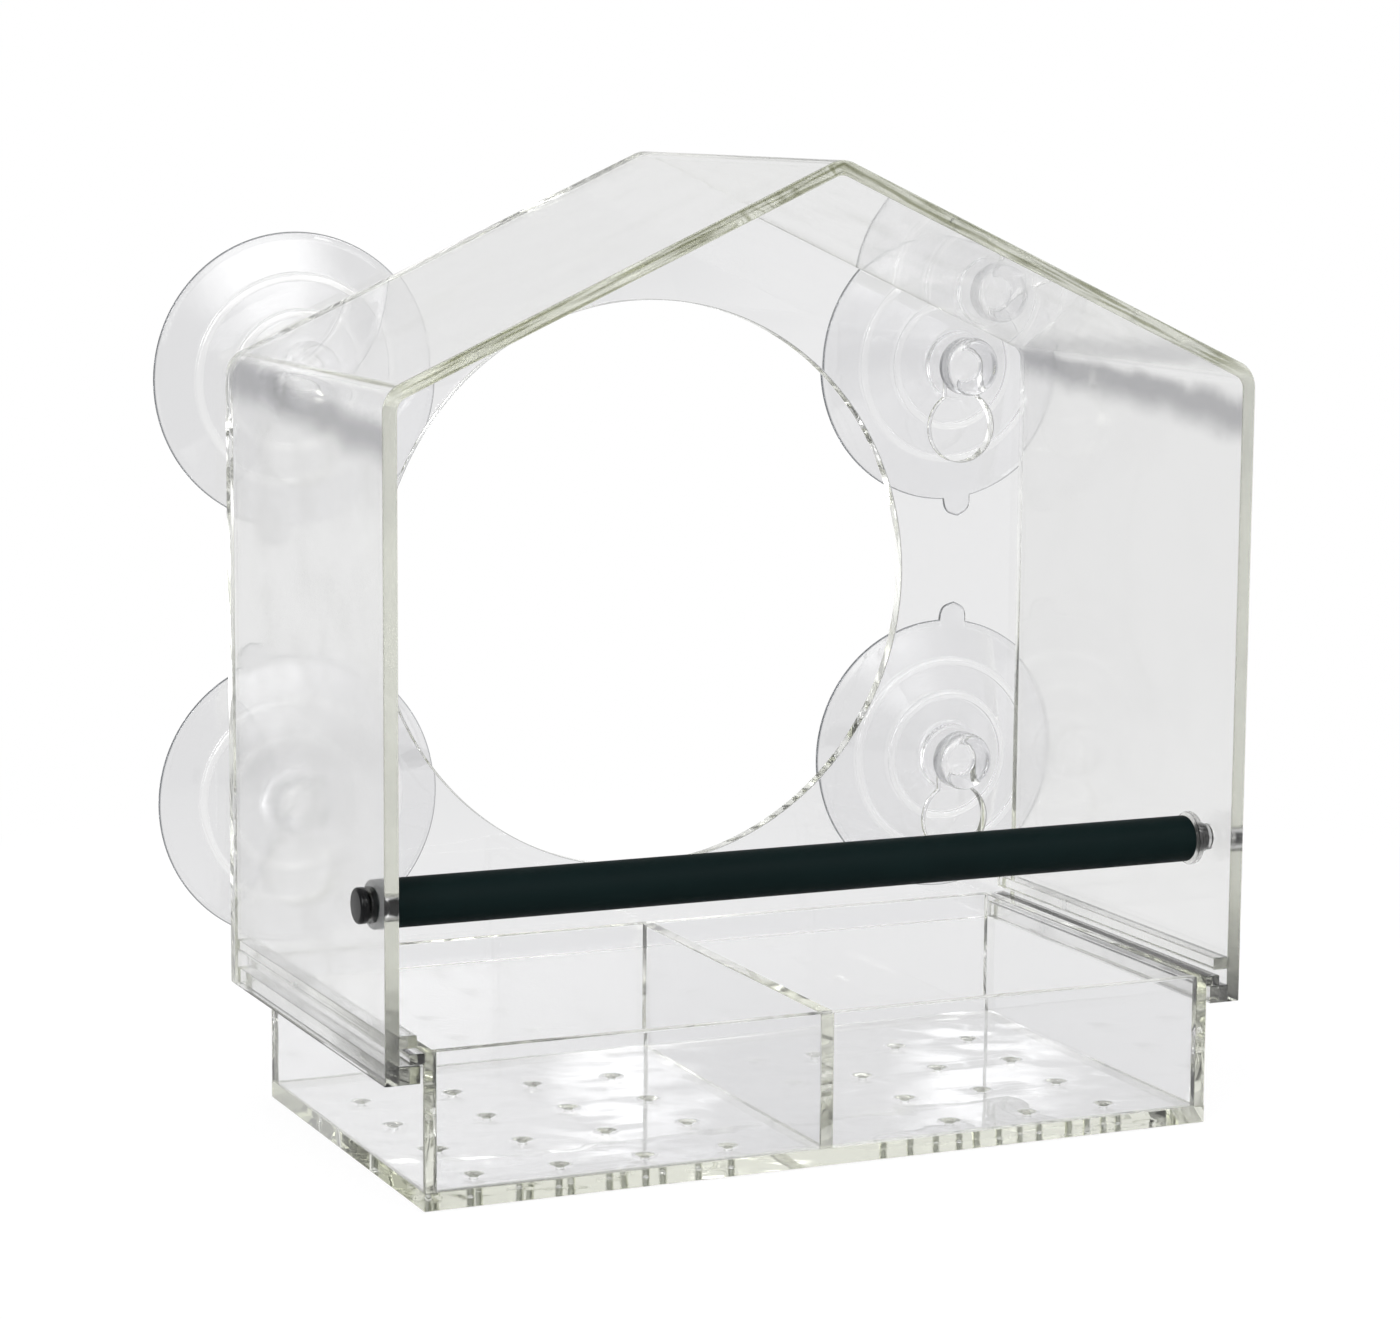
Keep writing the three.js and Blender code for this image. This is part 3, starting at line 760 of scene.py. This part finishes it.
class BuildPerch(bpy.types.Operator):
    """Rod, rubber sleeve, spacer and left cap"""
    bl_idname = "feeder.perch"
    bl_label = "Perch"

    def execute(self, context):
        s = settings().perch
        rubber = sleeve_rubber("extruded_rubber", s.sleeve_colour)
        nylon = moulded_nylon("black_moulded_nylon", s.nylon_colour, transmission=0, gloss=0.12)
        clear = moulded_nylon("clear_moulded_nylon", s.spacer_tint, transmission=1, gloss=0.5)
        bore = s.rod_radius + s.rod_gap

        rod_low, rod_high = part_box("perch_rod")
        bar = round_bar(0, s.rod_radius, rod_low.x, rod_high.x, s.rod_edge)
        perch_piece("perch_bar", bar, False, nylon, "perch_rod")

        low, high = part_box("perch_sleeve")
        tube = round_bar(bore, (high.z - low.z) / 2, low.x, high.x, s.sleeve_edge)
        perch_piece("rubber_sleeve", tube, True, rubber, "perch_sleeve")

        low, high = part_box("perch_spacer")
        spacer = self.spacer(s, bore, (high.z - low.z) / 2, low.x, high.x)
        perch_piece("flanged_spacer", spacer, True, clear, "perch_spacer")

        low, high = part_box("perch_left_cap")
        cap = self.cap(s, bore, (high.z - low.z) / 2, low.x, high.x, rod_low.x)
        perch_piece("perch_cap_moulding", cap, False, nylon, "perch_left_cap")
        return {"FINISHED"}

    def spacer(self, s, bore, flange_radius, low, high):
        """Flange beside the sleeve, then a narrower barrel out to the wall"""
        edge, shoulder = s.spacer_edge, low + s.flange
        return np.concatenate([
            [[bore, low]],
            arc((flange_radius - edge, low + edge), edge, -math.pi / 2, 0, 4),
            arc((flange_radius - edge, shoulder - edge), edge, 0, math.pi / 2, 4),
            arc((s.barrel_radius + edge, shoulder + edge), edge, -math.pi / 2, -math.pi, 4),
            arc((s.barrel_radius - edge, high - edge), edge, 0, math.pi / 2, 4),
            [[bore, high]],
        ])

    def cap(self, s, bore, radius, low, high, rod_end):
        """Round outer end and straight side, with a blind bore as deep as the rod reaches"""
        edge, seat = s.cap_edge, s.cap_seat
        return np.concatenate([
            [[0, low]],
            arc((radius - edge, low + edge), edge, -math.pi / 2, 0, 8),
            [[radius, high - seat], [radius - seat, high], [bore, high], [bore, rod_end], [0, rod_end]],
        ])


# Suction cups


def smooth_step(x, low, high):
    t = np.clip((x - low) / (high - low), 0, 1)
    return t * t * (3 - 2 * t)


def half_round(s, r):
    """Share of a ridge's height at each radius: sqrt(1 - d^2), with d in half widths from the nearer ridge"""
    nearest = np.minimum(np.abs(r - s.ring_radius), np.abs(r - s.step_radius))
    return np.sqrt(np.clip(1 - (nearest / (s.ridge_width / 2)) ** 2, 0, 1))


def cup_profile(s, height, sheet):
    """Radius and height above the window, from the middle of the hollow round to the middle of the head.

    The hollow is a parabola that meets the flat lip. The back falls from the boss to the lip in straight
    slopes that change at the two half-round ridges. The dimple in the head is a parabola too.
    """
    inside = s.cup_radius - s.lip_width
    r = np.linspace(0, inside, 80)
    hollow = np.stack([r, s.hollow_depth * (1 - (r / inside) ** 2)], axis=1)
    round_rim = 0.45 * s.lip_thickness
    rim = arc((s.cup_radius - round_rim, round_rim), round_rim, -math.pi / 2, 0, 6)
    crown = arc((s.cup_radius - round_rim, s.lip_thickness - round_rim), round_rim, 0, math.pi / 2, 6)
    foot_radius = s.boss_radius + s.boss_fillet
    turn = np.linspace(0, math.pi, 15)
    ridges = [ridge + s.ridge_width / 2 * np.cos(turn) for ridge in (s.ring_radius, s.step_radius)]
    r = np.concatenate([np.linspace(s.cup_radius - s.lip_thickness, foot_radius, 40), *ridges])
    r = np.sort(r)[::-1]
    radii = [s.boss_radius, s.step_radius, s.ring_radius, s.cup_radius]
    slopes = np.interp(r, radii, [s.boss_foot, s.step_height, s.ring_height, s.lip_thickness])
    back = np.stack([r, slopes + s.ridge_height * half_round(s, r)], axis=1)
    foot = back[-1, 1] + s.boss_fillet
    shoulder = height - s.seat_gap
    head = height + sheet + s.seat_gap
    head_top = head + s.head_thickness
    fillet, corner = s.neck_fillet, s.neck_fillet / 2
    dimple = np.linspace(s.dimple_radius, 0, 12)
    return np.concatenate([
        hollow,
        rim,
        crown,
        back,
        arc((foot_radius, foot), s.boss_fillet, -math.pi / 2, -math.pi, 6),
        arc((s.boss_radius - fillet, shoulder - fillet), fillet, 0, math.pi / 2, 5),
        arc((s.neck_radius + corner, shoulder + corner), corner, -math.pi / 2, -math.pi, 4),
        arc((s.neck_radius + corner, head - corner), corner, math.pi, math.pi / 2, 4),
        arc((s.head_radius - s.head_foot, head + s.head_foot), s.head_foot, -math.pi / 2, 0, 6),
        arc((s.head_radius - s.head_edge, head_top - s.head_edge), s.head_edge, 0, math.pi / 2, 10),
        np.stack([dimple, head_top - s.dimple_depth * (1 - (dimple / s.dimple_radius) ** 2)], axis=1),
    ])


def cup_mesh(s, x, z, lip_plane, height, sheet, tab_angle):
    """Profile turned about Y: the rim is drawn out into the pull tab.

    At an angle a from the tab's middle, points near the rim move out by the tab's length times
    sqrt(1 - (a / half)^6), which rounds the tab's corners, and times a taper that lowers its sides.
    """
    profile = cup_profile(s, height, sheet)
    around = np.linspace(-math.pi, math.pi, 192, endpoint=False)
    near_tab = np.linspace(-0.16, 0.16, 49)
    angle = np.sort(np.unique(np.round(np.concatenate([around, near_tab]), 9)))
    radius = np.repeat(profile[:, :1], len(angle), axis=1)
    out = np.repeat(profile[:, 1:], len(angle), axis=1)
    half = s.tab_width / 2 / s.cup_radius
    taper = 1 - 0.3 * np.clip(np.abs(angle) / half, 0, 1)
    tongue = s.tab_length * np.sqrt(np.clip(1 - (angle / half) ** 6, 0, 1)) * taper
    drawn_in, drawn_full = s.cup_radius - 2.4 * MM, s.cup_radius - 0.2 * MM
    radius = radius + smooth_step(radius, drawn_in, drawn_full) * tongue[None, :]
    turn = angle + tab_angle
    across = radius * np.sin(turn)[None, :]
    up = radius * np.cos(turn)[None, :]
    vertices = np.stack([x + across, lip_plane - out, z + up], axis=2)
    marks = {name: np.repeat(values, len(angle)) for name, values in cup_marks(s, profile, height).items()}
    return vertices.reshape(-1, 3), grid_faces(len(profile), len(angle), False).tolist(), marks


def cup_marks(s, profile, height):
    """Ridge is 1 at both ridges, on the back and in the hollow, where it lays a painted highlight.

    Rim is 1 on the round of the lip and, weaker, on the side of the head, and marks a painted dark line of
    shade. Each grows over the last part of the radius, from its start to its full depth inside the edge.
    """
    lip_start, lip_full, side_start, side_full = 0.5 * MM, 0.15 * MM, 0.8 * MM, 0.2 * MM
    side_share = 0.6
    r, out = profile.T
    # painted highlight on both ridges
    ridge = half_round(s, r) * (out < height)
    # painted shade on the round of the lip and the side of the head
    rim = smooth_step(r, s.cup_radius - lip_start, s.cup_radius - lip_full)
    side = smooth_step(r, s.head_radius - side_start, s.head_radius - side_full) * (out > height)
    return {"ridge": ridge, "rim": np.maximum(rim, side_share * side)}


class BuildCups(bpy.types.Operator):
    """Four mushroom-head suction cups, each turned as its pull tab shows"""
    bl_idname = "feeder.cups"
    bl_label = "Suction cups"

    def execute(self, context):
        s = settings().cups
        vinyl = moulded_vinyl("clear_moulded_vinyl", s.vinyl_tint, s.painted_rim_shade)
        panel_low, panel_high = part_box("back_panel")
        sheet = panel_high.y - panel_low.y
        tab_degrees = {"top_left": 185, "top_right": 174, "bottom_left": -14, "bottom_right": 5}
        for corner, node in CUP_NODES.items():
            x, z = cup_centre(node, s.cup_radius)
            lip_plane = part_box(node)[1].y
            height = lip_plane - panel_high.y
            tab_angle = math.radians(tab_degrees[corner])
            vertices, faces, marks = cup_mesh(s, x, z, lip_plane, height, sheet, tab_angle)
            name, body = f"vinyl_cup_{corner}", f"{corner}_cup"
            new_piece(name, vertices, faces, marks, vinyl, body, node)
        return {"FINISHED"}


# Stage


class BuildStage(bpy.types.Operator):
    """Pale floor, soft studio light and the camera at the photograph's angle"""
    bl_idname = "feeder.stage"
    bl_label = "Stage"

    def execute(self, context):
        s = settings().stage
        self.camera(s)
        self.floor(s)
        self.world(s)
        self.softbox("key_light", (-1.3, -1.0, 1.1), size=0.8, power=12)
        self.softbox("fill_light", (0.9, -1.3, 1.3), size=0.8, power=9)
        context.scene.view_settings.view_transform = "Standard"
        bounces = context.scene.cycles
        bounces.max_bounces = bounces.glossy_bounces = bounces.transmission_bounces = 48
        return {"FINISHED"}

    def camera(self, s):
        """Looks along its azimuth and elevation, then rolls about that line"""
        a, e = s.azimuth, s.elevation
        back = Vector((math.sin(a) * math.cos(e), -math.cos(a) * math.cos(e), math.sin(e)))
        right = (-back).cross(Vector((0, 0, 1))).normalized()
        up = back.cross(right)
        c, r = math.cos(s.roll), math.sin(s.roll)
        across, above = c * right + r * up, c * up - r * right
        data = bpy.data.cameras.new("camera")
        data.lens = s.lens
        data.sensor_width = 36
        data.clip_start, data.clip_end = 0.01, 100
        view = bpy.data.objects.new("camera", data)
        rows = Matrix((across, above, back)).transposed().to_4x4()
        view.matrix_world = Matrix.Translation(s.camera_place) @ rows
        bpy.context.scene.collection.objects.link(view)
        bpy.context.scene.camera = view

    def floor(self, s):
        """Round sheet of white paper just under the tray, which fades into the backdrop at its edge.

        It is pure white to the camera and as pale as the backdrop in the acrylic, with a faint shadow.
        """
        turns, depth, glow_share = 96, 0.4 * MM, 0.9
        radius = s.paper_radius
        ring = np.column_stack([arc((0, 0), radius, 0, 2 * math.pi, turns)[:-1], np.full(turns, -depth)])
        mesh = bpy.data.meshes.new("pale_floor")
        mesh.from_pydata(ring.tolist(), [], [list(range(turns))])
        material, tree = new_material("matt_white_paper")
        place = add_node(tree, "ShaderNodeTexCoord").outputs["Object"]
        reach = add_node(tree, "ShaderNodeVectorMath", {"Vector": place}, operation="LENGTH").outputs["Value"]
        paper = add_node(tree, "ShaderNodeBsdfDiffuse", {"Color": (*s.floor_colour, 1)})
        seen = add_node(tree, "ShaderNodeLightPath").outputs["Is Camera Ray"]
        glow = add_node(tree, "ShaderNodeEmission", {
            "Color": layered(tree, s.backdrop_colour, (seen, s.floor_colour))})
        shadow = eased(tree, (reach, 0.4 * radius, 0.7 * radius, glow_share, 1))
        lit = add_node(tree, "ShaderNodeMixShader", {
            0: shadow, 1: paper.outputs["BSDF"], 2: glow.outputs["Emission"]})
        clear = add_node(tree, "ShaderNodeBsdfTransparent")
        faded = add_node(tree, "ShaderNodeMixShader", {
            0: eased(tree, (reach, 0.6 * radius, 0.98 * radius, 0, 1)),
            1: lit.outputs["Shader"], 2: clear.outputs["BSDF"]})
        add_node(tree, "ShaderNodeOutputMaterial", {"Surface": faded.outputs["Shader"]})
        mesh.materials.append(material)
        floor = bpy.data.objects.new("pale_floor", mesh)
        bpy.context.scene.collection.objects.link(floor)

    def world(self, s):
        """Plain white backdrop to the eye; the acrylic mirrors a soft studio.

        The studio is pale paper ahead and duller beside. It has two small lamps over the paper, a bright
        table in front that ends at a slanting line, a ring light round the camera and a white ceiling. Each
        light is a product of smooth steps along directions, whose limits are cosines.
        """
        world = bpy.data.worlds.new("paper_sweep_studio")
        world.use_nodes = True
        tree = world.node_tree
        tree.nodes.clear()
        direction = add_node(tree, "ShaderNodeTexCoord").outputs["Generated"]
        split = add_node(tree, "ShaderNodeSeparateXYZ", {"Vector": direction}).outputs
        depth, height = split["Y"], split["Z"]
        sight = (-math.sin(s.azimuth), math.cos(s.azimuth), 0)
        across, table_slope = (sight[1], -sight[0], 0), (-0.49, 0, 1)
        dots = [
            add_node(tree, "ShaderNodeVectorMath", {0: direction, 1: axis}, operation="DOT_PRODUCT")
            for axis in (sight, across, table_slope)]
        ahead, beside, table_line = (dot.outputs["Value"] for dot in dots)
        rise, fall = (0, 1), (1, 0)
        backdrop = eased(tree, (ahead, 0.4, 0.75, *rise))
        ceiling = eased(tree, (height, 0.75, 0.92, *rise))
        table = eased(tree, (depth, -0.6, -0.45, *fall), (table_line, -0.262, -0.242, *fall))
        ring = eased(
            tree, (ahead, -0.92, -0.82, *rise), (ahead, -0.72, -0.6, *fall), (height, 0.02, 0.15, *rise))
        left_lamp, right_lamp = (
            eased(
                tree, (ahead, 0, 0.2, *rise),
                (beside, left, left_full, *rise), (beside, right_full, right, *fall),
                (height, 0.238, 0.247, *rise), (height, 0.252, 0.262, *fall))
            for left, left_full, right_full, right in (
                (-0.042, -0.022, -0.01, 0.008), (0.045, 0.062, 0.08, 0.098)))
        tone = layered(
            tree, s.side_colour, (backdrop, s.backdrop_colour), (ceiling, CLEAR),
            (table, [s.table_light] * 3), (ring, [s.ring_light] * 3),
            (left_lamp, [s.lamp_light] * 3), (right_lamp, [s.lamp_light] * 3))
        studio = add_node(tree, "ShaderNodeBackground", {"Color": tone})
        white = add_node(tree, "ShaderNodeBackground", {"Color": (*CLEAR, 1)})
        ray = add_node(tree, "ShaderNodeLightPath")
        seen = add_node(tree, "ShaderNodeMixShader", {
            0: ray.outputs["Is Camera Ray"], 1: studio.outputs["Background"], 2: white.outputs["Background"]})
        add_node(tree, "ShaderNodeOutputWorld", {"Surface": seen.outputs["Shader"]})
        bpy.context.scene.world = world

    def softbox(self, name, place, size, power):
        """Square lamp that faces the middle of the feeder"""
        middle = Vector((0, 0, 0.12))
        data = bpy.data.lights.new(name, "AREA")
        data.shape = "SQUARE"
        data.size = size
        data.energy = power
        light = bpy.data.objects.new(name, data)
        light.location = place
        light.rotation_euler = (middle - Vector(place)).to_track_quat("-Z", "Y").to_euler()
        bpy.context.scene.collection.objects.link(light)


class FeederPanel(bpy.types.Panel):
    bl_idname = "VIEW3D_PT_feeder"
    bl_label = "Window bird feeder"
    bl_space_type = "VIEW_3D"
    bl_region_type = "UI"
    bl_category = "Feeder"

    def draw(self, context):
        for group in ("house", "tray", "perch", "cups", "stage"):
            box = self.layout.box()
            box.operator(f"feeder.{group}")
            values = getattr(context.scene.feeder_settings, group)
            for name in type(values).__annotations__:
                box.prop(values, name)


CLASSES = (
    HouseSettings, TraySettings, PerchSettings, CupSettings, StageSettings, FeederSettings,
    BuildStage, BuildHouse, BuildTray, BuildPerch, BuildCups, FeederPanel,
)


def register():
    for cls in CLASSES:
        bpy.utils.register_class(cls)
    bpy.types.Scene.feeder_settings = PointerProperty(type=FeederSettings)


def unregister():
    del bpy.types.Scene.feeder_settings
    for cls in reversed(CLASSES):
        bpy.utils.unregister_class(cls)


def main():
    register()
    bpy.ops.feeder.stage()
    bpy.ops.feeder.house()
    bpy.ops.feeder.tray()
    bpy.ops.feeder.perch()
    bpy.ops.feeder.cups()


if __name__ == "__main__":
    main()
